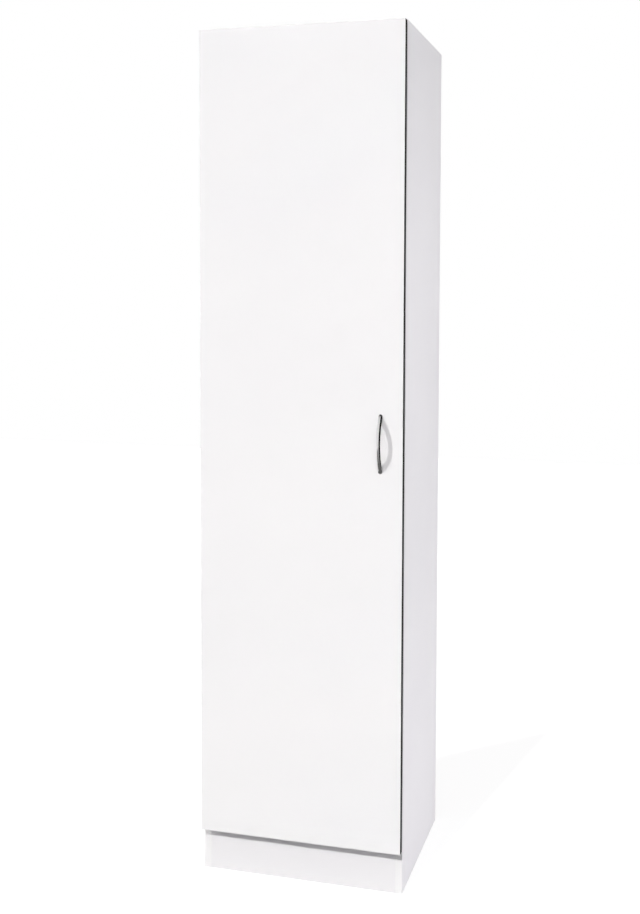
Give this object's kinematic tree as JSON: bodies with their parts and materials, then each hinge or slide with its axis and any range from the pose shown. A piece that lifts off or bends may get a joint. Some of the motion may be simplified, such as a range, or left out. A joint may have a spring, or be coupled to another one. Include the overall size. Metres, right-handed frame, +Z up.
{
  "type": "broom cupboard",
  "caption": "Tall narrow broom cupboard with one white door, a dark door edge, a bow handle, a plinth, shelves above and a tall open broom space below.",
  "frame": {"origin": "on the floor, in the middle of the overall width and of the overall depth from the handle's front to the carcass's back", "axes": "+Z up, -Y out of the door's front, +X to the right as seen from in front of the door"},
  "size_m": [0.49, 0.4424, 2],
  "materials": {
    "white_board": "white melamine, satin",
    "hardboard": "hardboard, white inside and raw outside",
    "white_plastic": "moulded, matt",
    "dark_edging": "matt edge band",
    "satin_nickel": "satin",
    "nickel_steel": "nickel plated",
    "beech": "raw",
    "soft_buffer": "soft, translucent",
    "magnet_block": "ground"
  },
  "bodies": {
    "carcass": {"adjustable_shelf": "white_board", "back_joining_strip": "white_plastic", "back_panel_lower": "hardboard", "back_panel_upper": "hardboard", "bottom_panel": "white_board", "broom_hook_1": "nickel_steel", "broom_hook_2": "nickel_steel", "broom_hook_3": "nickel_steel", "cam_bolts": "nickel_steel", "cam_caps": "white_plastic", "cam_locks": "nickel_steel", "catch_magnet": "magnet_block", "hat_shelf": "white_board", "hinge_arm_1": "nickel_steel", "hinge_arm_2": "nickel_steel", "hinge_arm_3": "nickel_steel", "hinge_arm_4": "nickel_steel", "hinge_arm_screws": "nickel_steel", "hinge_plate_1": "nickel_steel", "hinge_plate_2": "nickel_steel", "hinge_plate_3": "nickel_steel", "hinge_plate_4": "nickel_steel", "hinge_plate_screws": "nickel_steel", "hook_screws": "nickel_steel", "left_side_panel": "white_board", "magnet_catch": "white_plastic", "magnet_catch_screws": "nickel_steel", "plinth_block_screws": "nickel_steel", "plinth_blocks": "white_plastic", "plinth_board": "white_board", "rear_rail": "white_board", "right_side_panel": "white_board", "shelf_pins": "nickel_steel", "top_panel": "white_board", "wall_bracket_left": "nickel_steel", "wall_bracket_right": "nickel_steel", "wall_bracket_screws": "nickel_steel", "wood_dowels": "beech"},
    "door": {"bow_handle": "satin_nickel", "door_buffers": "soft_buffer", "door_edge_band": "dark_edging", "door_panel": "white_board", "handle_screws": "nickel_steel", "hinge_cup_1": "nickel_steel", "hinge_cup_2": "nickel_steel", "hinge_cup_3": "nickel_steel", "hinge_cup_4": "nickel_steel", "hinge_cup_screws": "nickel_steel", "hinge_pin_1": "nickel_steel", "hinge_pin_2": "nickel_steel", "hinge_pin_3": "nickel_steel", "hinge_pin_4": "nickel_steel", "strike_plate": "nickel_steel", "strike_plate_screws": "nickel_steel"}
  },
  "joints": [
    {"name": "door_swing", "type": "hinge", "parent": "carcass", "child": "door", "pos_m": [-0.2361, -0.1922, 1.05], "axis": [0, 0, -1], "range_deg": [0, 100]}
  ]
}
